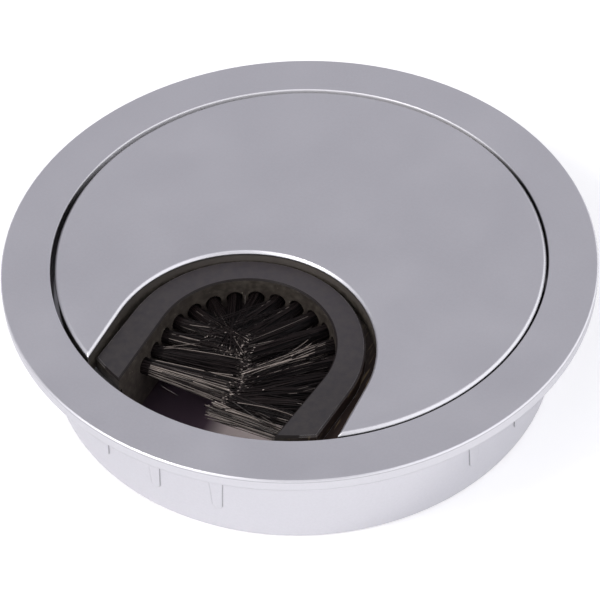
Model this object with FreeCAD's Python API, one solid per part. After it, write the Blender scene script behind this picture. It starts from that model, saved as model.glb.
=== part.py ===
import FreeCAD, Part
import math
import os

# Round desk grommet with a brushed cable gap.
# A cast ring drops into a desk hole. A thin metal plate on a black moulding rests in the ring's recess.
# The lid has a U-shaped cut, open at the rim, with a horseshoe of bristle tufts hung below it.
# Millimetres. The origin is on the axis at the flange's underside, +Z is up, the cut opens to -Y.

Vec = FreeCAD.Vector
UP = Vec(0, 0, 1)

# Ring
desk_hole_d = 80.0
sleeve_clearance = 0.25
sleeve_depth = 18.0
sleeve_lead_in = 0.4
flange_overhang = 6.05
flange_thickness = 2.0
flange_chamfer = 0.2
recess_wall = 1.55
recess_depth = 4.2
recess_chamfer = 0.15
ledge_width = 2.2
ledge_thickness = 1.5
bore_wall = 1.85

# Crush ribs on the sleeve, in groups, from the flange downwards
rib_group_angles = (-98.9, -11.2, 81.1, 168.8)
ribs_in_group = 3
rib_pitch_deg = 14.8
rib_height = 13.1
rib_top_width = 2.85
rib_low_width = 1.45
rib_end_taper = 0.4
rib_proud = 0.16

# Lid cap: a thin metal plate on the moulding, a little proud of the flange
lid_rise = 0.2
cap_gap = 0.45
cap_thickness = 0.6
cap_edge_chamfer = 0.45
lid_shift_x = 0.24
lid_shift_y = -0.07

# Cut in the lid, measured from the lid's own centre
cut_half_width = 20.1
cut_centre_y = -21.7
cut_lip_chamfer = 0.35

# Lid moulding under the cap
moulding_setback = 0.1
moulding_web = 1.2
moulding_wall = 1.6
lining_setback = 0.15
lining_wall = 1.5
lid_rib_thickness = 1.2
lid_rib_setback = 0.5
lid_rib_angles = (20.0, 55.0, 90.0, 125.0, 160.0)

# Brush holder, measured from its own centre; it sits a little turned and off centre in the cut
holder_shift_x = -0.59
holder_shift_y = 1.77
holder_turn_deg = -5.16
holder_clearance = 1.82
rail_width = 4.77
rail_outer_y = -0.17
rail_inner_y = 0.6
rail_outer_lean_deg = 0.8
rail_inner_lean_deg = 3.3
rail_below_top = 1.7
rail_chamfer = 0.25
rail_end_gap = 2.2
foot_width = 6.4
foot_thickness = 2.3
foot_end_gap = 0.6
holder_height = 11.0

# Drilled holes and bristle tufts, evenly spaced along the holder's inner wall from end to end
hole_d = 2.6
hole_depth = 3.0
hole_below_face = 3.9
row_places = 20
bare_places = 1
row_start = 3.27
row_end = 3.0
tuft_clearance = 0.07
tuft_gap = 0.86
tuft_tip_clearance = 0.15
tuft_centre_clearance = 2.6
strand_r = 0.3
strand_sides = 3
outer_strands = 5
outer_strands_r = 0.88
root_sides = 7
root_length = 1.8
flare_up_ratio = 1.25
tip_ratio = 0.6

# Screws that hold the brush holder to the lid moulding, from below
screw_shank_d = 2.2
screw_head_d = 4.2
screw_head_height = 1.3
screw_bite = 2.6
screw_hole_clearance = 0.2
screw_pilot_clearance = 0.05
boss_wall = 1.2
screw_out = 4.1
screw_y = -1.5

# Sizes that follow from the values above
sleeve_r = desk_hole_d / 2 - sleeve_clearance
flange_r = sleeve_r + flange_overhang
recess_r = sleeve_r - recess_wall
ledge_r = recess_r - ledge_width
bore_r = sleeve_r - bore_wall
top_z = flange_thickness
ledge_z = top_z - recess_depth
cap_r = recess_r - cap_gap
lid_top_z = top_z + lid_rise
cap_under_z = lid_top_z - cap_thickness
moulding_r = cap_r - moulding_setback
lining_half_width = cut_half_width + lining_setback
lid_shift = Vec(lid_shift_x, lid_shift_y, 0)
holder_centre = lid_shift + Vec(holder_shift_x, cut_centre_y + holder_shift_y, 0)
rail_outer_r = lining_half_width - holder_clearance
rail_inner_r = rail_outer_r - rail_width
rail_z = top_z - rail_below_top
rail_end_r = recess_r - rail_end_gap
foot_z = ledge_z
foot_low_z = foot_z - foot_thickness
foot_end_r = ledge_r - foot_end_gap
holder_low_z = rail_z - holder_height
hole_z = rail_z - hole_below_face
arm_reach = 2 * flange_r
height_tolerance = 0.0001


def flat_face(corners):
    """Flat face inside a closed outline of corners."""
    return Part.Face(Part.makePolygon(corners + corners[:1]))


def revolved(points):
    """Solid of revolution about the axis from a closed outline of (radius, height) points."""
    return flat_face([Vec(r, 0, z) for r, z in points]).revolve(Vec(0, 0, 0), UP, 360)


def disc(radius, low_z, high_z):
    """Cylinder on the ring's axis."""
    return Part.makeCylinder(radius, high_z - low_z, Vec(0, 0, low_z))


def u_line(radius, centre_y, lean_deg):
    """Edges of a U from its left end round the apex to its right end; the arms lean inwards."""
    turn = math.radians(90 + lean_deg)
    shoulder = Vec(radius * math.sin(turn), centre_y + radius * math.cos(turn), 0)
    along = Vec(math.cos(turn), -math.sin(turn), 0)
    end = shoulder + along * arm_reach
    apex = Vec(0, centre_y + radius, 0)
    left_shoulder = Vec(-shoulder.x, shoulder.y, 0)
    left_end = Vec(-end.x, end.y, 0)
    left_arm = Part.makeLine(left_end, left_shoulder)
    bend = Part.Arc(left_shoulder, apex, shoulder).toShape()
    right_arm = Part.makeLine(shoulder, end)
    return [left_arm, bend, right_arm], left_end, end


def u_prism(radius, centre_y, lean_deg, low_z, high_z):
    """Solid that fills a U, open far out on -Y."""
    edges, left_end, end = u_line(radius, centre_y, lean_deg)
    face = Part.Face(Part.Wire(edges + [Part.makeLine(end, left_end)]))
    solid = face.extrude(UP * (high_z - low_z))
    solid.translate(UP * low_z)
    return solid


def lid_cut(half_width, low_z, high_z):
    """The lid's U-shaped cut, or a wider copy of it, in place."""
    prism = u_prism(half_width, cut_centre_y, 0, low_z, high_z)
    prism.translate(lid_shift)
    return prism


def on_holder(shape):
    """Moves a shape from the brush holder's own place to its turned place in the lid."""
    shape.rotate(Vec(0, 0, 0), UP, holder_turn_deg)
    shape.translate(holder_centre)
    return shape


def horseshoe(outer_r, outer_y, outer_lean_deg, low_z, high_z, end_r):
    """Horseshoe band outside the brush gap, its ends cut off along the ring's own curve."""
    outer = u_prism(outer_r, outer_y, outer_lean_deg, low_z, high_z)
    gap = u_prism(rail_inner_r, rail_inner_y, rail_inner_lean_deg, low_z, high_z)
    return on_holder(outer.cut(gap)).common(disc(end_r, low_z, high_z))


def flat_edges(shape, height):
    """Edges that lie wholly at one height."""
    boxes = [(edge, edge.BoundBox) for edge in shape.Edges]
    return [e for e, box in boxes if max(abs(box.ZMin - height), abs(box.ZMax - height)) < height_tolerance]


def make_ring():
    """Flange, sleeve, recess and ledge turned as one, with the crush ribs on the sleeve."""
    ring = revolved([
        (recess_r, ledge_z),
        (recess_r, top_z - recess_chamfer),
        (recess_r + recess_chamfer, top_z),
        (flange_r - flange_chamfer, top_z),
        (flange_r, top_z - flange_chamfer),
        (flange_r, 0),
        (sleeve_r, 0),
        (sleeve_r, sleeve_lead_in - sleeve_depth),
        (sleeve_r - sleeve_lead_in, -sleeve_depth),
        (bore_r, -sleeve_depth),
        (bore_r, ledge_z - ledge_thickness),
        (ledge_r, ledge_z - ledge_thickness),
        (ledge_r, ledge_z),
    ])
    ribs = []
    for group_deg in rib_group_angles:
        for place in range(ribs_in_group):
            from_middle = (place - (ribs_in_group - 1) / 2) * rib_pitch_deg
            ribs.append(crush_rib(group_deg + from_middle))
    return ring.multiFuse(ribs).removeSplitter()


def crush_rib(azimuth_deg):
    """One crush rib: it narrows downwards to a blunt tip and stands a little proud of the sleeve."""
    half_top = rib_top_width / 2
    half_low = rib_low_width / 2
    half_tip = half_low - rib_end_taper
    taper_z = rib_end_taper - rib_height
    half_outline = [(half_top, 0), (half_low, taper_z), (half_tip, -rib_height)]
    corners = [Vec(0, y, z) for y, z in half_outline] + [Vec(0, -y, z) for y, z in reversed(half_outline)]
    root = recess_wall / 2
    rib = flat_face(corners).extrude(Vec(root + rib_proud, 0, 0))
    rib.translate(Vec(sleeve_r - root, 0, 0))
    rib.rotate(Vec(0, 0, 0), UP, azimuth_deg)
    return rib


def make_cap():
    """Thin round plate with a bevelled rim and a bevelled lip round the cut."""
    sheet = disc(flange_r, cap_under_z, lid_top_z).cut(lid_cut(cut_half_width, cap_under_z, lid_top_z))
    lip = [e for e in flat_edges(sheet, lid_top_z) if e.BoundBox.DiagonalLength < flange_r + cut_half_width]
    sheet = sheet.makeChamfer(cut_lip_chamfer, lip)
    plate = revolved([
        (0, cap_under_z),
        (cap_r, cap_under_z),
        (cap_r, lid_top_z - cap_edge_chamfer),
        (cap_r - cap_edge_chamfer, lid_top_z),
        (0, lid_top_z),
    ])
    plate.translate(lid_shift)
    return plate.common(sheet)


def make_moulding():
    """Lid moulding: a web with an outer wall on the ledge, a wall lining the cut, ribs and bosses."""
    body = disc(moulding_r, ledge_z, cap_under_z)
    web_z = cap_under_z - moulding_web
    pocket = disc(moulding_r - moulding_wall, ledge_z, web_z)
    body.translate(lid_shift)
    pocket.translate(lid_shift)
    pocket = pocket.cut(lid_cut(lining_half_width + lining_wall, ledge_z, web_z))
    ribs = [lid_rib(angle, web_z) for angle in lid_rib_angles]
    bosses = [on_holder(boss(x, y)) for x, y in screw_places()]
    body = body.cut(pocket.cut(ribs[0].multiFuse(ribs[1:])))
    body = body.multiFuse(bosses).cut(lid_cut(lining_half_width, ledge_z, cap_under_z))
    for x, y in screw_places():
        pilot = Part.makeCylinder(screw_shank_d / 2 + screw_pilot_clearance, screw_bite, Vec(x, y, ledge_z))
        body = body.cut(on_holder(pilot))
    return body.removeSplitter()


def lid_rib(angle_deg, web_z):
    """Stiffening rib under the lid's web, on a line from the middle of the cut's bend."""
    low_z = ledge_z + lid_rib_setback
    rib = Part.makeBox(arm_reach, lid_rib_thickness, web_z - low_z, Vec(0, -lid_rib_thickness / 2, low_z))
    rib.rotate(Vec(0, 0, 0), UP, angle_deg)
    rib.translate(lid_shift + Vec(0, cut_centre_y, 0))
    return rib


def boss(x, y):
    """Screw boss under the lid's web, given in the holder's own place."""
    return Part.makeCylinder(screw_shank_d / 2 + boss_wall, cap_under_z - ledge_z, Vec(x, y, ledge_z))


def screw_places():
    """Screw centres in the holder's own place, one on each side where the arms leave the bend."""
    from_middle = rail_outer_r + screw_out
    return [(-from_middle, screw_y), (from_middle, screw_y)]


def inner_arm_length(side):
    """Length of the holder's straight inner wall on one side, up to where the ring cuts it off."""
    turn = math.radians(90 + rail_inner_lean_deg)
    shoulder = Vec(side * rail_inner_r * math.sin(turn), rail_inner_y + rail_inner_r * math.cos(turn), 0)
    along = Vec(side * math.cos(turn), -math.sin(turn), 0)
    turned = FreeCAD.Rotation(UP, holder_turn_deg)
    shoulder = turned.multVec(shoulder) + holder_centre
    along = turned.multVec(along)
    from_foot = shoulder.dot(along)
    return math.sqrt(foot_end_r ** 2 - shoulder.dot(shoulder) + from_foot ** 2) - from_foot


def tuft_places():
    """Name, wall point, direction into the gap and side flare of each tuft, in the holder's own place."""
    bend_deg = 90 + rail_inner_lean_deg
    bend_length = rail_inner_r * math.radians(bend_deg)
    wall_left = bend_length + inner_arm_length(-1)
    wall_right = bend_length + inner_arm_length(1)
    pitch = (wall_left + wall_right - row_start - row_end) / (row_places - 1)
    left_places = row_places // 2
    places = []
    for place in range(bare_places, row_places):
        walk = row_start + pitch * place - wall_left
        side = math.copysign(1, walk)
        turn = math.radians(min(bend_deg, math.degrees(abs(walk) / rail_inner_r)))
        past = max(0, abs(walk) - bend_length)
        x = rail_inner_r * math.sin(turn) + past * math.cos(turn)
        y = rail_inner_y + rail_inner_r * math.cos(turn) - past * math.sin(turn)
        inward = Vec(-side * math.sin(turn), -math.cos(turn), 0)
        length = x / math.sin(turn) - tuft_tip_clearance
        flare = ((pitch - tuft_gap) / 2 - strand_r * tip_ratio) / outer_strands_r
        if past < pitch / 2:
            length = rail_inner_r - tuft_centre_clearance
            flare = tuft_centre_clearance / rail_inner_r
        name = f"tuft_left_{left_places - place}"
        if place >= left_places:
            name = f"tuft_right_{place - left_places + 1}"
        places.append((name, Vec(side * x, y, hole_z), inward, length, flare))
    return places


def make_holder():
    """Horseshoe brush holder: raised rail, outward foot and a drilled bar below."""
    rail = horseshoe(rail_outer_r, rail_outer_y, rail_outer_lean_deg, foot_z, rail_z, rail_end_r)
    rail = rail.makeChamfer(rail_chamfer, flat_edges(rail, rail_z))
    foot_r = rail_outer_r + foot_width
    foot = horseshoe(foot_r, rail_outer_y, rail_outer_lean_deg, foot_low_z, foot_z, foot_end_r)
    bar = horseshoe(rail_outer_r, rail_outer_y, rail_outer_lean_deg, holder_low_z, foot_low_z, foot_end_r)
    holder = rail.multiFuse([foot, bar]).removeSplitter()
    holes = []
    for name, wall_point, inward, length, flare in tuft_places():
        start = wall_point - inward * hole_depth
        holes.append(on_holder(Part.makeCylinder(hole_d / 2, 2 * hole_depth, start, inward)))
    for x, y in screw_places():
        radius = screw_shank_d / 2 + screw_hole_clearance
        holes.append(on_holder(Part.makeCylinder(radius, foot_thickness, Vec(x, y, foot_low_z))))
    return holder.cut(holes[0].multiFuse(holes[1:])).removeSplitter()


def ring_corners(offset_side, offset_up, radius, sides, along):
    """Corners of a regular polygon across a tuft that points to +X."""
    corners = []
    for corner in range(sides):
        turn = 2 * math.pi * (corner + 0.5) / sides
        corners.append(Vec(along, offset_side + radius * math.cos(turn), offset_up + radius * math.sin(turn)))
    return corners


def strand(offset_side, offset_up, start_x, tip_x, flare):
    """One tapered strand of a tuft, flat-sided, spread and thinned towards its tip."""
    tip_r = strand_r * min(tip_ratio, flare)
    start = ring_corners(offset_side, offset_up, strand_r, strand_sides, start_x)
    tip = ring_corners(offset_side * flare, offset_up * flare_up_ratio, tip_r, strand_sides, tip_x)
    faces = [flat_face(start), flat_face(tip)]
    for here in range(strand_sides):
        after = (here + 1) % strand_sides
        faces.append(flat_face([start[here], start[after], tip[after], tip[here]]))
    solid = Part.Solid(Part.Shell(faces))
    if solid.Volume < 0:
        solid.reverse()
    return solid


def make_tuft(wall_point, inward, length, flare):
    """Bristle tuft: a bound root at the bottom of its hole and strands that fan out across the gap."""
    root_r = hole_d / 2 - tuft_clearance
    root_x = root_length - hole_depth
    root = flat_face(ring_corners(0, 0, root_r, root_sides, -hole_depth)).extrude(Vec(root_length, 0, 0))
    strands = [strand(0, 0, root_x - strand_r, length, flare)]
    for place in range(outer_strands):
        turn = 2 * math.pi * (place + 0.5) / outer_strands
        side = outer_strands_r * math.cos(turn)
        up = outer_strands_r * math.sin(turn)
        strands.append(strand(side, up, root_x - strand_r, length, flare))
    tuft = root.multiFuse(strands)
    tuft.rotate(Vec(0, 0, 0), UP, math.degrees(math.atan2(inward.y, inward.x)))
    tuft.translate(wall_point)
    return on_holder(tuft)


def make_screws():
    """Screws, their heads against the foot from below and their shanks up in the bosses."""
    head = Part.makeCylinder(screw_head_d / 2, screw_head_height, Vec(0, 0, -screw_head_height))
    shank_length = foot_thickness + screw_bite - screw_pilot_clearance
    screw = head.fuse(Part.makeCylinder(screw_shank_d / 2, shank_length)).removeSplitter()
    screws = []
    for x, y in screw_places():
        placed = screw.copy()
        placed.translate(Vec(x, y, foot_low_z))
        screws.append(on_holder(placed))
    return Part.makeCompound(screws)


def export(name, shape):
    shape.exportStep(os.path.join("parts", name + ".step"))


os.makedirs("parts", exist_ok=True)
export("outer_ring", make_ring())
export("lid_cap", make_cap())
export("lid_moulding", make_moulding())
export("brush_holder", make_holder())
export("holder_screws", make_screws())
for tuft_name, tuft_wall_point, tuft_inward, tuft_length, tuft_flare in tuft_places():
    export(tuft_name, make_tuft(tuft_wall_point, tuft_inward, tuft_length, tuft_flare))
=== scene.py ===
import math
import random

import bmesh
import bpy
from mathutils import Matrix, Vector


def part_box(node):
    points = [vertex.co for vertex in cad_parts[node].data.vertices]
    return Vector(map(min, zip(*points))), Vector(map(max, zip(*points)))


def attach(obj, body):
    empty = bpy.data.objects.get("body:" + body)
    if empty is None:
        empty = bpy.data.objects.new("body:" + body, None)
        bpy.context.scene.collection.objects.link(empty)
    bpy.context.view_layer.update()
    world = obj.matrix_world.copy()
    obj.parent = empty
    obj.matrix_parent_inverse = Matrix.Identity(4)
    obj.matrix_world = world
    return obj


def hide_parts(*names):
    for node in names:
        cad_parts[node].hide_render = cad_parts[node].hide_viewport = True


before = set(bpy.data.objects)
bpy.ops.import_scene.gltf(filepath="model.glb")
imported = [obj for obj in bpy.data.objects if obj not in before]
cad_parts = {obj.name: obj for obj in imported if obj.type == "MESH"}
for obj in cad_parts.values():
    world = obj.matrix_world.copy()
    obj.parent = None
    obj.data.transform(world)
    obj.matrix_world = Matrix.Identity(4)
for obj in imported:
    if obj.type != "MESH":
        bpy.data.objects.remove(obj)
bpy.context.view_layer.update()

# A round desk grommet with a brushed cable gap, standing on its sleeve.
# Metres, in the frame's own axes. The random numbers are seeded, so each run is the same.

MM = 0.001
ring_low, ring_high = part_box("outer_ring")
_, holder_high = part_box("brush_holder")
screw_low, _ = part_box("holder_screws")
TOP_Z = ring_high.z
FLOOR_Z = ring_low.z
UP = Vector((0.0, 0.0, 1.0))

# Camera
CAMERA_AZIMUTH_DEG = -64.25
CAMERA_ELEVATION_DEG = 44.484
CAMERA_DISTANCE = 361.8 * MM
CAMERA_YAW = math.radians(-0.021)
CAMERA_PITCH = math.radians(-1.163)
CAMERA_ROLL = math.radians(-2.452)
SENSOR_WIDTH = 36.0
LENS = 141.28

# Surround: its colour along the way from the camera's side, 0, to the far side, 1
SKY = (
    (0.36, (1.35, 1.35, 1.39)),
    (0.62, (0.478, 0.471, 0.511)),
    (0.81, (0.400, 0.396, 0.432)),
    (0.895, (0.535, 0.526, 0.566)),
)
# Its soft round patches: azimuth, elevation, full out to and gone by, in degrees, and colour
SKY_PATCHES = (
    (42.0, 12.0, 20.0, 46.0, (1.30, 1.30, 1.33)),
    (CAMERA_AZIMUTH_DEG, 44.5, 13.0, 30.0, (0.57, 0.565, 0.585)),
)

# Key lamp
KEY_AZIMUTH_DEG = -125.0
KEY_ELEVATION_DEG = 48.0
KEY_DISTANCE = 0.75
KEY_SIZE = 0.18
KEY_WATTS = 1.75
KEY_COLOUR = (1.0, 0.97, 0.935)

# Noises of the materials: waves per metre, detail and roughness
CLOUD = (28.0, 2.0, 0.5)
SMEAR = (90.0, 4.0, 0.5)
SATIN_GRAIN = (2600.0, 2.0, 0.5)
BLOOM = (900.0, 5.0, 0.65)
SPECK = (1700.0, 1.0, 0.5)
RUB = (420.0, 3.0, 0.5)
WEAR_BREAKS = (260.0, 2.0, 0.5)
PLASTIC_GRAIN = (3800.0, 2.0, 0.5)
FIBRE = (2300.0, 1.0, 0.5)
ZINC_STREAK = (900.0, 3.0, 0.5)
BRISTLE_MOTTLE = (700.0, 2.0, 0.5)
TIP_SPECKLE = (3000.0, 1.0, 0.5)
FLOOR_MOTTLE = (3.0, 2.0, 0.5)

# Masks: the band of a noise that is spread by default, the soft edge of a mask, samples of a ray mask
NOISE_LOW = 0.3
NOISE_HIGH = 0.7
MASK_EDGE = 0.1 * MM
BEVEL_SAMPLES = 8
CORNER_SAMPLES = 16

# Satin metal: its tones are shares of its colour, and painted shade darkens its corners
SATIN_COLOUR = (0.74, 0.735, 0.77)
SATIN_DARKER = 0.975
SATIN_LIGHTER = 1.03
SATIN_PAINTED_SHADE = 0.3
SATIN_GRAIN_SHARE = 0.6
SATIN_ROUGHNESS = 0.36
SATIN_ROUGHNESS_RANGE = (0.33, 0.42)
SATIN_BUMP_STRENGTH = 0.12
SATIN_BUMP_DISTANCE = 0.02 * MM
CORNER_REACH = 0.35 * MM
CORNER_BAND = (0.4, 0.93)
RING_ROUNDING = 0.22 * MM
LID_ROUNDING = 0.42 * MM
LID_NOISE_SHIFT = 9.0
# Lid: its lowest edge band gets painted shade where it goes down into the gap
LID_FOOT_TOP = 0.13 * MM
LID_FOOT_LOW = 0.24 * MM

# Ring: the wall of the recess, with painted shade in front and frosted behind,
# and a thin line of painted shade under the rim
GROOVE_RADIUS = 38.25 * MM
GROOVE_DEPTH = 4.3 * MM
GROOVE_FULL_DEPTH = 3.87 * MM
GROOVE_SHADE_FADES_FROM = 13.0 * MM
GROOVE_SHADE_GONE_BY = 24.0 * MM
RIM_SHADE_LINE_TONE = 0.72
RIM_LINE_DOWN = 0.34 * MM
RIM_LINE_HALF = 0.16 * MM
RIM_LINE_RADIUS = 45.5 * MM

# Black plastics: colour of the face, colour further down, and dust
MOULDING_TONES = ((0.050, 0.0435, 0.0395), (0.05, 0.042, 0.035), (0.125, 0.108, 0.088))
MOULDING_ROUGHNESS = 0.5
HOLDER_TONES = ((0.026, 0.0225, 0.0265), (0.030, 0.024, 0.020), (0.085, 0.073, 0.060))
HOLDER_ROUGHNESS = 0.45
PLASTIC_SHINE = 0.5
PLASTIC_BUMP_STRENGTH = 0.2
PLASTIC_BUMP_DISTANCE = 0.03 * MM
RUB_SMOOTHER = 0.06
RUB_ROUGHER = 0.1

# Dust: it starts below the rail's face; the face itself has painted light, paler towards the back
DUST_FROM_DEPTH = 0.07 * MM
DUST_FULL_DEPTH = 0.35 * MM
DUST_BAND = (0.4, 0.75)
FACE_DUST = 0.25
FACE_FRONT_PAINTED_SHADE = 0.82
FACE_BACK_PAINTED_LIGHT = 1.5
PAINTED_LIGHT_FROM_Y = -24.0 * MM
PAINTED_LIGHT_TO_Y = -3.0 * MM
SPECK_BAND = (0.73, 0.79)
SPECK_COLOUR = (0.26, 0.235, 0.20)

# Edges: rubbed where the rounded and the true normal part, in a colour that is also a painted highlight,
# and darker and less shiny on the rail's inner chamfer, which is painted shade
EDGE_WEAR = 0.12 * MM
EDGE_WEAR_BAND = (0.935, 0.985)
EDGE_WEAR_LEAST = 0.15
EDGE_WEAR_AND_HIGHLIGHT_COLOUR = (0.30, 0.285, 0.29)
RAIL_MIDDLE = 16.0 * MM
CHAMFER_LOW_BAND = (0.3, 0.5)
CHAMFER_HIGH_BAND = (0.85, 0.97)
CHAMFER_PAINTED_SHADE = (0.016, 0.013, 0.013)
DULL_SHINE = 0.12

# Brown dirt with fibres beside the right arm
STAIN_FROM_X = 12.0 * MM
STAIN_TO_X = 18.0 * MM
STAIN_COLOUR = (0.038, 0.025, 0.022)
FIBRE_COLOUR = (0.20, 0.15, 0.09)
FIBRE_STRETCH = (1.0, 0.09, 0.4)
FIBRE_BAND = (0.58, 0.70)
FIBRE_SHARE = 0.9

# Zinc-plated steel
ZINC_COLOUR = (0.62, 0.60, 0.56)
ZINC_DARKER = (0.5, 0.49, 0.45)
ZINC_ROUGHNESS = 0.3
ZINC_ROUGHNESS_RANGE = (0.24, 0.4)
ZINC_STRETCH = (1.0, 1.0, 6.0)

# Filaments: darkest and lightest colour, the paler set being a painted highlight, and the cut ends, most
# of which are dull while some get a painted highlight
DARK_BRISTLE = ((0.004, 0.003, 0.0035), (0.029, 0.021, 0.021))
DARK_BRISTLE_SHINE = 0.17
PAINTED_LIT_BRISTLE = ((0.03, 0.024, 0.022), (0.40, 0.34, 0.305))
PAINTED_LIT_BRISTLE_SHINE = 0.5
BRISTLE_ROUGHNESS = 0.32
BRISTLE_MOTTLE_TONE = 0.7
BRISTLE_BAND = (0.2, 1.0)
TIP_DULL = (0.035, 0.027, 0.026)
TIP_PAINTED_HIGHLIGHT = (0.3, 0.25, 0.23)
TIP_PAINTED_GLINT = (0.85, 0.74, 0.68)
TIP_ROUGHNESS = 0.6
TIP_BAND = (0.6, 1.0)

# Floor: white, lifted for the camera and in mirrored light; inside the sleeve, painted shade
# with a painted pool of light
FLOOR_SIZE = 6.0
FLOOR_COLOUR = (0.80, 0.80, 0.81)
FLOOR_DARKER = (0.79, 0.79, 0.80)
FLOOR_LIGHTER = (0.81, 0.81, 0.82)
FLOOR_ROUGHNESS = 0.9
FLOOR_LIFT = 0.34
FLOOR_MIRROR_LIFT = 0.125
INNER_FLOOR_RADIUS = 36.0 * MM
OUTER_FLOOR_RADIUS = 40.0 * MM
INNER_FLOOR_PAINTED_SHADE = (0.18, 0.12, 0.165)
INNER_FLOOR_PAINTED_LIGHT = (0.88, 0.76, 0.77)
INNER_FLOOR_SHADE_TO_X = -6.8 * MM
INNER_FLOOR_LIT_FROM_X = -3.2 * MM

# Brush holder: its own centre and turn, the line of its inner wall and the row of holes in it
HOLDER_CENTRE = Vector((-0.35, -20.0, 0.0)) * MM
HOLDER_TURN = math.radians(-5.16)
WALL_RADIUS = 13.66 * MM
WALL_CENTRE_Y = 0.6 * MM
WALL_LEAN = math.radians(3.3)
HOLE_BELOW_FACE = 3.9 * MM
TUFT_PITCH = 3.36 * MM
TUFT_ROW_SHIFT = 0.45 * MM

# Material slots of a filament
DARK = 0
PAINTED_LIT = 1
# Filaments in the paler slot carry a painted highlight.
TIP = 2

# Filaments of a tuft: seed of the random numbers, number, sizes and how they start
SIDE_SEED = 100
FILAMENTS = 190
FILAMENT_RADIUS = 0.072 * MM
COARSE_FILAMENTS = 150
COARSE_RADIUS = 0.098 * MM
COARSE_TUFTS = ("tuft_left_9", "tuft_right_10")
FILAMENT_SIDES = 3
FILAMENT_STEPS = 6
FILAMENT_TAPER = 0.1
THINNEST = 0.85
THICKEST = 1.15
TIP_LENGTH = 0.3 * MM
TUFT_RADIUS = 0.98 * MM
FULL_TUFT_RADIUS = 1.2 * MM
FULL_TUFTS = ("tuft_left_9", "tuft_right_4")
ROOT_DEPTH = 1.2 * MM
ROOT_DROP = 0.22 * MM
GOLDEN_ANGLE = math.pi * (3.0 - math.sqrt(5.0))

# How they end: sag, fan, and the spread of their ends, lengths and bows
FULL_REACH = 13.8 * MM
SAG_AT_FULL_REACH = 0.9 * MM
FAN_UPWARDS = 0.87
BEND_POWER = 1.1
END_SPREAD_ASIDE = 0.30 * MM
END_SPREAD_UP = 0.26 * MM
LENGTH_SPREAD = 0.03
BOW_SPREAD = 0.14 * MM
WILD_SHARE = 0.05
WILD_SPREAD_ASIDE = 1.6 * MM
WILD_SPREAD_UP = 0.8 * MM
WILD_SHORTEST = 0.7

# Each tuft, counted from the bend's apex along its side: swing off the hole's axis in degrees,
# free length in millimetres, share of filaments that get a painted highlight, and fan
TUFT_SWINGS = {
    "left": (-28, -18, -10, 0, 12, 18, 9, 12, 6.5),
    "right": (-19, -14, -7, 9, 16, 24, 27, 23, 8, 3),
}
TUFT_REACHES = {
    "left": (12.2, 11.6, 11.0, 11.6, 11.0, 11.4, 12.2, 13.4, 13.8),
    "right": (11.4, 12.2, 12.2, 14.0, 14.0, 14.2, 13.6, 12.4, 11.6, 12.9),
}
TUFT_PAINTED_LIT_SHARES = {
    "left": (0.03, 0.02, 0.03, 0.04, 0.08, 0.10, 0.10, 0.12, 0.66),
    "right": (0.03, 0.03, 0.05, 0.50, 0.06, 0.03, 0.03, 0.04, 0.10, 0.55),
}
TUFT_FANS = {
    "left": (1.5, 1.5, 1.5, 1.5, 1.5, 1.5, 1.5, 1.5, 1.7),
    "right": (1.5, 1.5, 1.4, 0.6, 1.2, 1.4, 1.5, 1.5, 1.4, 0.95),
}

# Loose hairs on top of the tufts: start and end, x, y, z in millimetres
STRAY_SEED = 7
STRAY_RADIUS = 0.085 * MM
STRAY_THINNEST = 0.7
STRAY_THICKEST = 1.1
STRAY_STEPS = 7
STRAY_BOW = 0.02
STRAYS = (
    (-6.0, -7.1, -2.5, -5.1, -9.3, -3.4),
    (-11.5, -16.7, -2.4, -7.5, -15.5, -2.8),
    (-13.2, -19.4, -2.4, -9.1, -19.1, -2.7),
    (-11.9, -19.3, -2.4, -8.1, -18.8, -2.7),
    (-8.1, -18.9, -2.6, -6.2, -17.5, -2.6),
    (-13.0, -22.5, -2.5, -7.9, -19.2, -2.7),
    (-13.1, -23.0, -2.4, -7.7, -20.4, -2.7),
    (-10.0, -28.6, -3.4, -6.8, -29.2, -3.8),
    (7.1, -11.8, -2.6, 5.3, -16.0, -2.7),
    (7.9, -12.3, -2.6, 5.9, -16.4, -2.7),
    (8.9, -13.1, -2.5, 6.2, -16.0, -2.7),
    (9.0, -13.5, -2.5, 6.7, -16.3, -2.7),
    (9.3, -14.1, -2.5, 6.9, -16.5, -2.7),
    (9.1, -14.8, -2.5, 3.8, -19.4, -2.8),
    (7.3, -16.2, -2.5, 0.5, -22.4, -2.9),
    (7.0, -17.0, -2.5, 1.1, -22.8, -2.9),
    (11.1, -21.1, -2.4, 9.5, -22.3, -2.6),
    (12.2, -21.0, -2.4, 10.5, -22.3, -2.6),
    (10.1, -23.0, -2.4, 8.6, -23.6, -2.6),
    (12.0, -24.7, -2.4, 10.5, -24.8, -2.6),
    (11.2, -28.5, -2.4, 9.1, -28.5, -2.6),
    (8.5, -29.1, -2.5, 6.0, -28.5, -2.7),
)

# Screws: side and turn of the cross in degrees, place, and half the outline as radius and height off
# the head's seat, in millimetres
SCREWS = ((-1, 35.0), (1, 60.0))
SCREW_OUT = 22.53 * MM
SCREW_Y = -1.5 * MM
HEAD_HEIGHT = 1.3 * MM
SCREW_OUTLINE = (
    (0.0, 4.85), (1.1, 4.85), (1.1, 0.0), (2.1, 0.0), (2.1, -0.55),
    (1.95, -0.85), (1.6, -1.1), (1.0, -1.25), (0.0, -1.3),
)
SCREW_SIDES = 40

# Cross recess: its size at the mouth, and its two ends as height, share of length and share of width
CROSS_LENGTH = 2.3 * MM
CROSS_WIDTH = 0.5 * MM
CROSS_DEPTH = 0.8 * MM
CROSS_ENDS = ((-CROSS_DEPTH, 1.0, 1.0), (CROSS_DEPTH, 0.35, 0.74))


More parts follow.
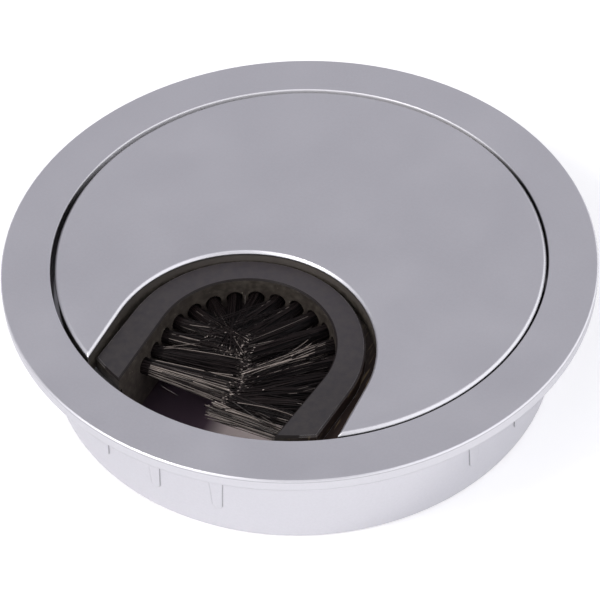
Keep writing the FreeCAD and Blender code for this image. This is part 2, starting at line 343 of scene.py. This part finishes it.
def toward(azimuth_deg, elevation_deg):
    """Unit vector from the object towards an azimuth and elevation."""
    azimuth = math.radians(azimuth_deg)
    elevation = math.radians(elevation_deg)
    across = math.cos(elevation)
    return Vector((across * math.cos(azimuth), across * math.sin(azimuth), math.sin(elevation)))


def shade(colour, share):
    """The colour, darker or lighter by a share."""
    return tuple(share * part for part in colour)


class Tree:
    """Node tree of a material or the surround, with a short call for each node that is used below."""

    def __init__(self, owner):
        owner.use_nodes = True
        self.nodes = owner.node_tree.nodes
        self.links = owner.node_tree.links

    def feed(self, value, socket):
        """Gives an input its value: a link from a socket, a colour, a direction or a number."""
        if isinstance(value, bpy.types.NodeSocket):
            self.links.new(value, socket)
        elif socket.type == "RGBA":
            socket.default_value = (*value, 1.0)
        else:
            socket.default_value = value

    def coordinates(self, stretch=(1.0, 1.0, 1.0)):
        """Object coordinates, stretched where a noise has to run one way."""
        place = self.nodes.new("ShaderNodeTexCoord")
        mapping = self.nodes.new("ShaderNodeMapping")
        mapping.inputs["Scale"].default_value = stretch
        self.links.new(place.outputs["Object"], mapping.inputs["Vector"])
        return mapping.outputs["Vector"]

    def seen_from(self, vector, centre, turn):
        """The vector in axes that stand at a centre and are turned about z."""
        mapping = self.nodes.new("ShaderNodeMapping")
        mapping.vector_type = "TEXTURE"
        mapping.inputs["Location"].default_value = centre
        mapping.inputs["Rotation"].default_value = (0.0, 0.0, turn)
        self.links.new(vector, mapping.inputs["Vector"])
        return mapping.outputs["Vector"]

    def noise(self, vector, kind, shift=0.0):
        """One of the noises named above, with its waves shifted where two pieces share it."""
        scale, detail, roughness = kind
        noise = self.nodes.new("ShaderNodeTexNoise")
        noise.inputs["Scale"].default_value = scale + shift
        noise.inputs["Detail"].default_value = detail
        noise.inputs["Roughness"].default_value = roughness
        self.links.new(vector, noise.inputs["Vector"])
        return noise.outputs["Fac"]

    def remap(self, value, low, high, from_low=NOISE_LOW, from_high=NOISE_HIGH):
        """Maps a band of values to a range from low to high, and holds it beyond the band."""
        ramp = self.nodes.new("ShaderNodeMapRange")
        ramp.inputs["From Min"].default_value = from_low
        ramp.inputs["From Max"].default_value = from_high
        ramp.inputs["To Min"].default_value = low
        ramp.inputs["To Max"].default_value = high
        self.links.new(value, ramp.inputs["Value"])
        return ramp.outputs["Result"]

    def rise(self, value, none=NOISE_LOW, full=NOISE_HIGH):
        """Mask that grows from 0 to 1 between two values."""
        return self.remap(value, 0.0, 1.0, none, full)

    def fall(self, value, full, none):
        """Mask that shrinks from 1 to 0 between two values."""
        return self.remap(value, 1.0, 0.0, full, none)

    def rest(self, mask):
        """What a mask leaves."""
        return self.fall(mask, 0.0, 1.0)

    def mix(self, factor, first, second):
        """Blend of two colours by a mask."""
        mix = self.nodes.new("ShaderNodeMix")
        mix.data_type = "RGBA"
        self.links.new(factor, mix.inputs["Factor"])
        for name, value in (("A", first), ("B", second)):
            self.feed(value, [s for s in mix.inputs if s.name == name and s.type == "RGBA"][0])
        return [s for s in mix.outputs if s.type == "RGBA"][0]

    def calculate(self, operation, first, second):
        """A math node on two values."""
        node = self.nodes.new("ShaderNodeMath")
        node.operation = operation
        self.feed(first, node.inputs[0])
        self.feed(second, node.inputs[1])
        return node.outputs["Value"]

    def product(self, first, second):
        return self.calculate("MULTIPLY", first, second)

    def larger(self, first, second):
        return self.calculate("MAXIMUM", first, second)

    def dot(self, first, second):
        """Dot product of a vector with another vector or a fixed direction."""
        node = self.nodes.new("ShaderNodeVectorMath")
        node.operation = "DOT_PRODUCT"
        self.feed(first, node.inputs[0])
        self.feed(second, node.inputs[1])
        return node.outputs["Value"]

    def length(self, vector):
        node = self.nodes.new("ShaderNodeVectorMath")
        node.operation = "LENGTH"
        self.links.new(vector, node.inputs[0])
        return node.outputs["Value"]

    def split(self, vector):
        """The x, y and z of a vector."""
        node = self.nodes.new("ShaderNodeSeparateXYZ")
        self.links.new(vector, node.inputs["Vector"])
        return node.outputs["X"], node.outputs["Y"], node.outputs["Z"]

    def flat_length(self, x, y):
        """Length of the vector with this x and y."""
        flat = self.nodes.new("ShaderNodeCombineXYZ")
        self.links.new(x, flat.inputs["X"])
        self.links.new(y, flat.inputs["Y"])
        return self.length(flat.outputs["Vector"])

    def rounded_normal(self, radius):
        """Normal that is softened across sharp edges."""
        bevel = self.nodes.new("ShaderNodeBevel")
        bevel.samples = BEVEL_SAMPLES
        bevel.inputs["Radius"].default_value = radius
        return bevel.outputs["Normal"]

    def openness(self, reach):
        """1 on an open face, less in the piece's own corners."""
        corner = self.nodes.new("ShaderNodeAmbientOcclusion")
        corner.samples = CORNER_SAMPLES
        corner.only_local = True
        corner.inputs["Distance"].default_value = reach
        return corner.outputs["AO"]

    def bump(self, shader, height, strength, distance, rounding=0.0):
        """Fine relief from a height; a rounding also softens the light across sharp edges."""
        bump = self.nodes.new("ShaderNodeBump")
        if rounding:
            self.links.new(self.rounded_normal(rounding), bump.inputs["Normal"])
        bump.inputs["Strength"].default_value = strength
        bump.inputs["Distance"].default_value = distance
        self.links.new(height, bump.inputs["Height"])
        self.links.new(bump.outputs["Normal"], shader.inputs["Normal"])


def new_material(name, colour, roughness, metallic=0.0):
    """Principled material with its node tree, for the builders below to refine."""
    material = bpy.data.materials.new(name)
    tree = Tree(material)
    shader = tree.nodes["Principled BSDF"]
    shader.inputs["Base Color"].default_value = (*colour, 1.0)
    shader.inputs["Roughness"].default_value = roughness
    shader.inputs["Metallic"].default_value = metallic
    material.diffuse_color = (*colour, 1.0)
    return material, tree, shader


def satin_metal(name, noise_shift, rounding, add_painted_shade):
    """Fine-grained satin metal with faint clouds, a slight change of sheen, and painted shade in corners.
    """
    material, tree, shader = new_material(name, SATIN_COLOUR, SATIN_ROUGHNESS, 1.0)
    vector = tree.coordinates()
    cloud = tree.noise(vector, CLOUD, noise_shift)
    grain = tree.noise(vector, SATIN_GRAIN)
    tone = tree.mix(tree.rise(cloud), shade(SATIN_COLOUR, SATIN_DARKER), SATIN_COLOUR)
    tone = tree.mix(tree.remap(grain, 0.0, SATIN_GRAIN_SHARE), tone, shade(SATIN_COLOUR, SATIN_LIGHTER))
    # Painted shade: darker where the piece's own corners close in.
    unshaded = tree.rise(tree.openness(CORNER_REACH), *CORNER_BAND)
    tone = tree.mix(unshaded, shade(SATIN_COLOUR, SATIN_PAINTED_SHADE), tone)
    tree.feed(add_painted_shade(tree, shader, vector, tone), shader.inputs["Base Color"])
    smear = tree.noise(vector, SMEAR, noise_shift)
    tree.feed(tree.remap(smear, *SATIN_ROUGHNESS_RANGE), shader.inputs["Roughness"])
    tree.bump(shader, grain, SATIN_BUMP_STRENGTH, SATIN_BUMP_DISTANCE, rounding)
    return material


def add_ring_painted_shade(tree, shader, vector, tone):
    """The ring's tone with painted shade on the front of the recess wall, a frosted back,
    and a thin line of painted shade under the rim.
    """
    # Painted shade on the front of the recess wall; its back is frosted, not metallic.
    groove_shade, frosted = groove_masks(tree, vector)
    tone = tree.mix(groove_shade, tone, shade(SATIN_COLOUR, SATIN_PAINTED_SHADE))
    tree.feed(tree.rest(frosted), shader.inputs["Metallic"])
    # Painted shade: a thin darker line on the flange's side under its chamfer.
    return tree.mix(rim_line_mask(tree, vector), tone, shade(SATIN_COLOUR, RIM_SHADE_LINE_TONE))


def add_lid_painted_shade(tree, shader, vector, tone):
    """The lid's tone with painted shade on the edge that goes down into the gap."""
    _, _, z = tree.split(vector)
    foot = tree.fall(z, TOP_Z - LID_FOOT_LOW, TOP_Z - LID_FOOT_TOP)
    return tree.mix(foot, tone, shade(SATIN_COLOUR, SATIN_PAINTED_SHADE))


def groove_masks(tree, vector):
    """Masks of the recess round the lid: its front and sides, which get painted shade, and its frosted
    back.
    """
    x, y, z = tree.split(vector)
    within = tree.fall(tree.flat_length(x, y), GROOVE_RADIUS, GROOVE_RADIUS + MASK_EDGE)
    above = tree.rise(z, TOP_Z - GROOVE_DEPTH, TOP_Z - GROOVE_FULL_DEPTH)
    away = tree.dot(vector, toward(CAMERA_AZIMUTH_DEG + 180.0, 0.0))
    front = tree.fall(away, GROOVE_SHADE_FADES_FROM, GROOVE_SHADE_GONE_BY)
    groove = tree.product(within, above)
    return tree.product(groove, front), tree.product(groove, tree.rest(front))


def rim_line_mask(tree, vector):
    """Mask of the thin line of painted shade on the flange's side, below its chamfer."""
    _, _, z = tree.split(vector)
    middle = TOP_Z - RIM_LINE_DOWN
    above = tree.rise(z, middle - RIM_LINE_HALF, middle)
    below = tree.fall(z, middle, middle + RIM_LINE_HALF)
    outside = tree.rise(tree.length(vector), RIM_LINE_RADIUS, RIM_LINE_RADIUS + MASK_EDGE)
    return tree.product(tree.product(above, below), outside)


def black_plastic(name, tones, roughness, fibres=False):
    """Black moulded plastic: fine grain, dusty and warmer below the rail's face, painted lighter towards
    the back of the face, rubbed edges that also carry a painted highlight, and a painted-shade inner
    chamfer.
    """
    colour, low_colour, dust = tones
    material, tree, shader = new_material(name, colour, roughness)
    vector = tree.coordinates()
    x, y, z = tree.split(vector)
    face_z = holder_high.z
    high = tree.rise(z, face_z - DUST_FULL_DEPTH, face_z - DUST_FROM_DEPTH)
    bloom = tree.noise(vector, BLOOM)
    grain = tree.noise(vector, PLASTIC_GRAIN)
    # Painted light: the face is lighter towards the back and darker in front.
    backwards = tree.rise(y, PAINTED_LIGHT_FROM_Y, PAINTED_LIGHT_TO_Y)
    face = tree.mix(backwards, shade(colour, FACE_FRONT_PAINTED_SHADE), shade(colour, FACE_BACK_PAINTED_LIGHT))
    face = tree.mix(tree.remap(bloom, 0.0, FACE_DUST), face, dust)
    low = tree.mix(tree.rise(bloom, *DUST_BAND), low_colour, dust)
    low = tree.mix(tree.rise(tree.noise(vector, SPECK), *SPECK_BAND), low, SPECK_COLOUR)
    rubbed_and_lit, chamfer_shade = edge_masks(tree, vector)
    matt = chamfer_shade
    if fibres:
        stain = tree.rise(x, STAIN_FROM_X, STAIN_TO_X)
        low = tree.mix(stain, low, fibrous_dirt(tree))
        matt = tree.larger(chamfer_shade, tree.product(stain, tree.rest(high)))
    # Painted shade darkens the inner chamfer; the rubbed outer edges get a lighter colour that is also a
    # painted highlight.
    tone = tree.mix(chamfer_shade, tree.mix(high, low, face), CHAMFER_PAINTED_SHADE)
    tree.feed(tree.mix(rubbed_and_lit, tone, EDGE_WEAR_AND_HIGHLIGHT_COLOUR), shader.inputs["Base Color"])
    tree.feed(tree.remap(matt, PLASTIC_SHINE, DULL_SHINE, 0.0, 1.0), shader.inputs["Specular IOR Level"])
    rub = tree.remap(tree.noise(vector, RUB), roughness - RUB_SMOOTHER, roughness + RUB_ROUGHER)
    tree.feed(rub, shader.inputs["Roughness"])
    tree.bump(shader, grain, PLASTIC_BUMP_STRENGTH, PLASTIC_BUMP_DISTANCE)
    return material


def edge_masks(tree, vector):
    """Masks of the rubbed outer edges, also a painted highlight, where the wear comes and goes,
    and of the inner chamfer, which gets painted shade.
    """
    normal = tree.nodes.new("ShaderNodeNewGeometry").outputs["Normal"]
    edge = tree.fall(tree.dot(tree.rounded_normal(EDGE_WEAR), normal), *EDGE_WEAR_BAND)
    broken = tree.remap(tree.noise(vector, WEAR_BREAKS), EDGE_WEAR_LEAST, 1.0)
    outer = outer_side_mask(tree)
    _, _, upwards = tree.split(normal)
    chamfer = tree.product(tree.fall(upwards, *CHAMFER_HIGH_BAND), tree.rise(upwards, *CHAMFER_LOW_BAND))
    return tree.product(tree.product(edge, broken), outer), tree.product(chamfer, tree.rest(outer))


def outer_side_mask(tree):
    """Mask that is full on the outer half of the horseshoe, bend and arms alike."""
    place = tree.nodes.new("ShaderNodeTexCoord").outputs["Object"]
    x, y, _ = tree.split(tree.seen_from(place, HOLDER_CENTRE, HOLDER_TURN))
    radius = tree.flat_length(x, tree.larger(y, 0.0))
    return tree.rise(radius, RAIL_MIDDLE, RAIL_MIDDLE + EDGE_WEAR)


def fibrous_dirt(tree):
    """Brown dirt with fine fibres that run along the arm."""
    strand = tree.noise(tree.coordinates(FIBRE_STRETCH), FIBRE)
    return tree.mix(tree.remap(strand, 0.0, FIBRE_SHARE, *FIBRE_BAND), STAIN_COLOUR, FIBRE_COLOUR)


def zinc_steel(name):
    """Bright zinc-plated steel with turned streaks."""
    material, tree, shader = new_material(name, ZINC_COLOUR, ZINC_ROUGHNESS, 1.0)
    streak = tree.noise(tree.coordinates(ZINC_STRETCH), ZINC_STREAK)
    tree.feed(tree.mix(tree.rise(streak), ZINC_DARKER, ZINC_COLOUR), shader.inputs["Base Color"])
    tree.feed(tree.remap(streak, *ZINC_ROUGHNESS_RANGE), shader.inputs["Roughness"])
    return material


def bristle_material(name, tones, shine):
    """Synthetic filament: each one has its own shade between two, with a faint mottle along it."""
    dark, light = tones
    material, tree, shader = new_material(name, dark, BRISTLE_ROUGHNESS)
    shader.inputs["Specular IOR Level"].default_value = shine
    island = tree.nodes.new("ShaderNodeNewGeometry").outputs["Random Per Island"]
    mottle = tree.rise(tree.noise(tree.coordinates(), BRISTLE_MOTTLE))
    mottled = tree.mix(mottle, light, shade(light, BRISTLE_MOTTLE_TONE))
    tree.feed(tree.mix(tree.rise(island, *BRISTLE_BAND), dark, mottled), shader.inputs["Base Color"])
    return material


def bristle_tip_material():
    """Cut ends of the filaments: most are dark and matt, some get a painted highlight."""
    material, tree, shader = new_material("bristle_tip", TIP_DULL, TIP_ROUGHNESS)
    island = tree.nodes.new("ShaderNodeNewGeometry").outputs["Random Per Island"]
    speckle = tree.rise(tree.noise(tree.coordinates(), TIP_SPECKLE))
    # Painted highlight: some cut ends are painted light, and a few bright.
    light = tree.mix(speckle, TIP_PAINTED_HIGHLIGHT, TIP_PAINTED_GLINT)
    tree.feed(tree.mix(tree.rise(island, *TIP_BAND), TIP_DULL, light), shader.inputs["Base Color"])
    return material


def dress(node, material):
    """Gives a carried-over node its material."""
    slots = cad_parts[node].data.materials
    slots.clear()
    slots.append(material)


def new_object(name, mesh):
    """Object in the scene from a mesh that has been built."""
    data = bpy.data.meshes.new(name)
    mesh.to_mesh(data)
    mesh.free()
    piece = bpy.data.objects.new(name, data)
    bpy.context.scene.collection.objects.link(piece)
    return piece


def in_holder(x, y):
    """Point or direction of the holder's own axes, turned as the holder is."""
    return Matrix.Rotation(HOLDER_TURN, 4, "Z") @ Vector((x, y, 0.0))


def wall_place(side, walk):
    """Point on the holder's inner wall at the holes' height, and the direction from it into the gap."""
    bend = math.pi / 2 + WALL_LEAN
    turn = min(bend, walk / WALL_RADIUS)
    past = max(0.0, walk - WALL_RADIUS * bend)
    x = WALL_RADIUS * math.sin(turn) + past * math.cos(turn)
    y = WALL_CENTRE_Y + WALL_RADIUS * math.cos(turn) - past * math.sin(turn)
    hole_z = holder_high.z - HOLE_BELOW_FACE
    point = in_holder(side * x, y) + HOLDER_CENTRE + Vector((0.0, 0.0, hole_z))
    return point, in_holder(-side * math.sin(turn), -math.cos(turn))


def add_filament(mesh, path, radius, slot):
    """Thin tube of a few sides along a path, tapered a little, with a flat cut end; its root takes
    the dark material as painted shade in the hole.
    """
    rings = []
    last = len(path) - 1
    for step, point in enumerate(path):
        ahead = path[min(step + 1, last)] - path[max(step - 1, 0)]
        across = ahead.cross(UP).normalized()
        over = across.cross(ahead).normalized()
        size = radius * (1.0 - FILAMENT_TAPER * step / last)
        ring = []
        for corner in range(FILAMENT_SIDES):
            angle = 2 * math.pi * corner / FILAMENT_SIDES + math.pi / 2
            ring.append(mesh.verts.new(point + size * (math.cos(angle) * across + math.sin(angle) * over)))
        rings.append(ring)
    # The root segment takes the dark material as painted shade in the hole.
    slots = [DARK] + [slot] * (last - 2) + [TIP]
    for here, after, face_slot in zip(rings, rings[1:], slots):
        for corner in range(FILAMENT_SIDES):
            beside = (corner + 1) % FILAMENT_SIDES
            face = mesh.faces.new((here[corner], here[beside], after[beside], after[corner]))
            face.smooth = True
            face.material_index = face_slot
    end = mesh.faces.new(rings[-1])
    end.material_index = TIP


def finish_bristles(mesh, name):
    """Piece from a mesh of filaments, with the three bristle materials."""
    piece = new_object(name, mesh)
    for material in ("bristle", "bristle_painted_highlight", "bristle_tip"):
        piece.data.materials.append(materials[material])
    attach(piece, "root")
    return piece


def make_tuft(name, side, walk, swing_deg, reach, lit_share, fan, rng):
    """One bristle tuft: fine filaments out of a drilled hole that fan, swing aside and stray a little."""
    point, inward = wall_place(side, walk)
    beside = UP.cross(inward).normalized()
    swing = math.tan(math.radians(swing_deg)) * reach
    sag = SAG_AT_FULL_REACH * (reach / FULL_REACH) ** 3
    count = COARSE_FILAMENTS if name in COARSE_TUFTS else FILAMENTS
    radius = COARSE_RADIUS if name in COARSE_TUFTS else FILAMENT_RADIUS
    tuft_radius = FULL_TUFT_RADIUS if name in FULL_TUFTS else TUFT_RADIUS
    mesh = bmesh.new()
    for number in range(count):
        spread = tuft_radius * math.sqrt((number + 0.5) / count)
        root_aside = spread * math.cos(number * GOLDEN_ANGLE)
        root_up = spread * math.sin(number * GOLDEN_ANGLE) - ROOT_DROP
        end_aside = swing + root_aside * fan + rng.gauss(0.0, END_SPREAD_ASIDE)
        end_up = root_up * fan * FAN_UPWARDS - sag + rng.gauss(0.0, END_SPREAD_UP)
        length = reach * (1.0 + rng.gauss(0.0, LENGTH_SPREAD)) * math.cos(math.radians(swing_deg))
        bow_aside = rng.gauss(0.0, BOW_SPREAD)
        bow_up = rng.gauss(0.0, BOW_SPREAD)
        if rng.random() < WILD_SHARE:
            end_aside += rng.gauss(0.0, WILD_SPREAD_ASIDE)
            end_up += abs(rng.gauss(0.0, WILD_SPREAD_UP))
            length *= rng.uniform(WILD_SHORTEST, 1.0)
        path = []
        for step in range(FILAMENT_STEPS + 1):
            share = step / FILAMENT_STEPS
            along = share * (length + ROOT_DEPTH) - ROOT_DEPTH
            bend = (max(0.0, along) / length) ** BEND_POWER
            bow = math.sin(math.pi * share)
            aside = root_aside + (end_aside - root_aside) * bend + bow_aside * bow
            up = root_up + (end_up - root_up) * bend + bow_up * bow
            path.append(point + inward * along + beside * aside + UP * up)
        path.append(path[-1] + TIP_LENGTH * (path[-1] - path[-2]).normalized())
        # A share of the filaments gets the paler material, a painted highlight.
        slot = PAINTED_LIT if rng.random() < lit_share else DARK
        add_filament(mesh, path, radius * rng.uniform(THINNEST, THICKEST), slot)
    piece = finish_bristles(mesh, name + "_filaments")
    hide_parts(name)


def make_tufts():
    """All the tufts, counted from the bend's apex along each side."""
    for side, word in ((-1, "left"), (1, "right")):
        looks = zip(TUFT_SWINGS[word], TUFT_REACHES[word], TUFT_PAINTED_LIT_SHARES[word], TUFT_FANS[word])
        for number, (swing_deg, reach, lit_share, fan) in enumerate(looks):
            rng = random.Random(SIDE_SEED * side + number)
            walk = TUFT_PITCH * (number + 0.5) - side * TUFT_ROW_SHIFT
            name = f"tuft_{word}_{number + 1}"
            make_tuft(name, side, walk, swing_deg, reach * MM, lit_share, fan, rng)


def make_strays():
    """A few loose hairs that lie over the tufts, with a painted highlight along them."""
    rng = random.Random(STRAY_SEED)
    mesh = bmesh.new()
    for row in STRAYS:
        start = Vector(row[:3]) * MM
        end = Vector(row[3:]) * MM
        bow = rng.gauss(0.0, STRAY_BOW) * (end - start).length
        aside = (end - start).cross(UP).normalized()
        path = []
        for step in range(STRAY_STEPS + 1):
            share = step / STRAY_STEPS
            path.append(start.lerp(end, share) + bow * math.sin(math.pi * share) * aside)
        # The hairs take the paler material, a painted highlight.
        add_filament(mesh, path, STRAY_RADIUS * rng.uniform(STRAY_THINNEST, STRAY_THICKEST), PAINTED_LIT)
    finish_bristles(mesh, "stray_hairs")


def screw_centre(side, height):
    """Point on a screw's axis, this far above the lowest point of its head."""
    centre = in_holder(side * SCREW_OUT, SCREW_Y) + HOLDER_CENTRE
    centre.z = screw_low.z + height
    return centre


def add_turned(mesh, centre, outline):
    """Turned body about a centre from half its outline, whose ends lie on the axis."""
    rows = []
    for radius, height in outline:
        row = []
        for corner in range(SCREW_SIDES if radius else 1):
            angle = 2 * math.pi * corner / SCREW_SIDES
            place = Vector((radius * math.cos(angle), radius * math.sin(angle), height))
            row.append(mesh.verts.new(centre + MM * place))
        rows.append(row)
    for above, below in zip(rows, rows[1:]):
        for corner in range(SCREW_SIDES):
            beside = (corner + 1) % SCREW_SIDES
            ring = [above[corner % len(above)], below[corner % len(below)]]
            if len(below) > 1:
                ring.append(below[beside])
            if len(above) > 1:
                ring.append(above[beside])
            mesh.faces.new(ring)


def make_screws():
    """Pan-head screws with a cross recess, seen from below."""
    mesh = bmesh.new()
    for side, _ in SCREWS:
        add_turned(mesh, screw_centre(side, HEAD_HEIGHT), SCREW_OUTLINE)
    bmesh.ops.recalc_face_normals(mesh, faces=mesh.faces)
    screws = new_object("pan_head_screws", mesh)
    for side, cross_deg in SCREWS:
        for arm_deg in (cross_deg, cross_deg + 90.0):
            carve(screws, make_cross_arm(screw_centre(side, 0.0), math.radians(arm_deg)))
    screws.data.materials.clear()
    screws.data.materials.append(materials["screws"])
    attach(screws, "root")
    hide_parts("holder_screws")


def make_cross_arm(centre, turn):
    """Tapered wedge that cuts one arm of a cross recess."""
    mesh = bmesh.new()
    corners = []
    for height, length_share, width_share in CROSS_ENDS:
        for across, along in ((-1, -1), (1, -1), (1, 1), (-1, 1)):
            x = 0.5 * CROSS_LENGTH * along * length_share
            y = 0.5 * CROSS_WIDTH * across * width_share
            corners.append(mesh.verts.new(centre + Matrix.Rotation(turn, 4, "Z") @ Vector((x, y, height))))
    for face in ((3, 2, 1, 0), (4, 5, 6, 7), (0, 1, 5, 4), (1, 2, 6, 5), (2, 3, 7, 6), (3, 0, 4, 7)):
        mesh.faces.new([corners[index] for index in face])
    bmesh.ops.recalc_face_normals(mesh, faces=mesh.faces)
    return new_object("cutter", mesh)


def carve(piece, cutter):
    """Takes the cutter's shape out of the piece and deletes the cutter."""
    cut = piece.modifiers.new("cut", "BOOLEAN")
    cut.operation = "DIFFERENCE"
    cut.solver = "EXACT"
    cut.object = cutter
    graph = bpy.context.evaluated_depsgraph_get()
    piece.data = bpy.data.meshes.new_from_object(piece.evaluated_get(graph))
    piece.modifiers.clear()
    bpy.data.objects.remove(cutter)


def make_floor():
    """White floor that keeps the object's shadow, and inside the sleeve painted shade
    with a painted pool of light.
    """
    bpy.ops.mesh.primitive_plane_add(size=FLOOR_SIZE, location=(0.0, 0.0, FLOOR_Z))
    floor = bpy.context.object
    floor.name = "floor"
    material, tree, shader = new_material("floor_white", FLOOR_COLOUR, FLOOR_ROUGHNESS)
    vector = tree.coordinates()
    x, _, _ = tree.split(vector)
    outer = tree.mix(tree.rise(tree.noise(vector, FLOOR_MOTTLE)), FLOOR_DARKER, FLOOR_LIGHTER)
    # Inside the sleeve: painted shade, turning into a painted pool of light towards +x.
    light = tree.rise(x, INNER_FLOOR_SHADE_TO_X, INNER_FLOOR_LIT_FROM_X)
    inner = tree.mix(light, INNER_FLOOR_PAINTED_SHADE, INNER_FLOOR_PAINTED_LIGHT)
    outside = tree.rise(tree.length(vector), INNER_FLOOR_RADIUS, OUTER_FLOOR_RADIUS)
    tree.feed(tree.mix(outside, inner, outer), shader.inputs["Base Color"])
    rays = tree.nodes.new("ShaderNodeLightPath")
    seen = tree.remap(rays.outputs["Is Camera Ray"], 0.0, FLOOR_LIFT, 0.0, 1.0)
    mirrored = tree.remap(rays.outputs["Is Glossy Ray"], 0.0, FLOOR_MIRROR_LIFT, 0.0, 1.0)
    shader.inputs["Emission Color"].default_value = (1.0, 1.0, 1.0, 1.0)
    tree.feed(tree.product(tree.larger(seen, mirrored), outside), shader.inputs["Emission Strength"])
    floor.data.materials.append(material)


def add_sky_patch(tree, direction, sky, patch):
    """Soft round patch of another colour in the surround."""
    azimuth, elevation, full_to, gone_by, colour = patch
    facing = tree.dot(direction, toward(azimuth, elevation))
    share = tree.rise(facing, math.cos(math.radians(gone_by)), math.cos(math.radians(full_to)))
    return tree.mix(share, sky, colour)


def make_world():
    """Soft studio surround, bright on the camera's side and grey behind, seen as white by the camera."""
    world = bpy.data.worlds.new("studio")
    bpy.context.scene.world = world
    tree = Tree(world)
    direction = tree.nodes.new("ShaderNodeTexCoord").outputs["Generated"]
    turn = math.radians(CAMERA_AZIMUTH_DEG) + math.pi / 2
    _, backwards, _ = tree.split(tree.seen_from(direction, (0.0, 0.0, 0.0), turn))
    ramp = tree.nodes.new("ShaderNodeValToRGB")
    stops = ramp.color_ramp.elements
    for number, (position, colour) in enumerate(SKY):
        stop = stops[number] if number < len(stops) else stops.new(position)
        stop.position = position
        stop.color = (*colour, 1.0)
    tree.feed(tree.rise(backwards, -1.0, 1.0), ramp.inputs["Fac"])
    sky = ramp.outputs["Color"]
    for patch in SKY_PATCHES:
        sky = add_sky_patch(tree, direction, sky, patch)
    surround = tree.nodes["Background"]
    surround.inputs["Strength"].default_value = 1.0
    tree.feed(sky, surround.inputs["Color"])
    white = tree.nodes.new("ShaderNodeBackground")
    white.inputs["Color"].default_value = (1.0, 1.0, 1.0, 1.0)
    choose = tree.nodes.new("ShaderNodeMixShader")
    tree.feed(tree.nodes.new("ShaderNodeLightPath").outputs["Is Camera Ray"], choose.inputs["Fac"])
    tree.feed(surround.outputs["Background"], choose.inputs[1])
    tree.feed(white.outputs["Background"], choose.inputs[2])
    tree.feed(choose.outputs["Shader"], tree.nodes["World Output"].inputs["Surface"])


def make_key_lamp():
    """Softbox from the front left that looks at the object."""
    data = bpy.data.lights.new("key", "AREA")
    data.shape = "SQUARE"
    data.size = KEY_SIZE
    data.energy = KEY_WATTS
    data.color = KEY_COLOUR
    lamp = bpy.data.objects.new("key", data)
    towards = toward(KEY_AZIMUTH_DEG, KEY_ELEVATION_DEG)
    lamp.location = towards * KEY_DISTANCE
    lamp.rotation_euler = towards.to_track_quat("Z", "Y").to_euler()
    bpy.context.scene.collection.objects.link(lamp)


def make_camera():
    """Camera at the photograph's height, turn and lens."""
    azimuth = math.radians(CAMERA_AZIMUTH_DEG)
    away = toward(CAMERA_AZIMUTH_DEG, CAMERA_ELEVATION_DEG)
    right = Vector((-math.sin(azimuth), math.cos(azimuth), 0.0))
    over = right.cross(-away)
    ahead = (-away + math.tan(CAMERA_YAW) * right + math.tan(CAMERA_PITCH) * over).normalized()
    level = ahead.cross(UP).normalized()
    upright = level.cross(ahead)
    side = math.cos(CAMERA_ROLL) * level + math.sin(CAMERA_ROLL) * upright
    top = -math.sin(CAMERA_ROLL) * level + math.cos(CAMERA_ROLL) * upright
    pose = Matrix((side, top, -ahead)).transposed().to_4x4()
    pose.translation = away * CAMERA_DISTANCE + Vector((0.0, 0.0, TOP_Z))
    data = bpy.data.cameras.new("camera")
    data.sensor_width = SENSOR_WIDTH
    data.lens = LENS
    camera = bpy.data.objects.new("camera", data)
    camera.matrix_world = pose
    bpy.context.scene.collection.objects.link(camera)
    bpy.context.scene.camera = camera


materials = {
    "ring": satin_metal("ring_satin", 0.0, RING_ROUNDING, add_ring_painted_shade),
    "lid": satin_metal("lid_satin", LID_NOISE_SHIFT, LID_ROUNDING, add_lid_painted_shade),
    "moulding": black_plastic("lid_moulding_black", MOULDING_TONES, MOULDING_ROUGHNESS),
    "holder": black_plastic("holder_black", HOLDER_TONES, HOLDER_ROUGHNESS, fibres=True),
    "screws": zinc_steel("screw_zinc"),
    "bristle": bristle_material("bristle", DARK_BRISTLE, DARK_BRISTLE_SHINE),
    # The paler bristle material is a painted highlight.
    "bristle_painted_highlight": bristle_material("bristle_painted_highlight", PAINTED_LIT_BRISTLE, PAINTED_LIT_BRISTLE_SHINE),
    "bristle_tip": bristle_tip_material(),
}
dress("outer_ring", materials["ring"])
dress("lid_cap", materials["lid"])
dress("lid_moulding", materials["moulding"])
dress("brush_holder", materials["holder"])

make_tufts()
make_strays()
make_screws()
make_floor()
make_world()
make_key_lamp()
make_camera()
bpy.context.scene.view_settings.view_transform = "Standard"
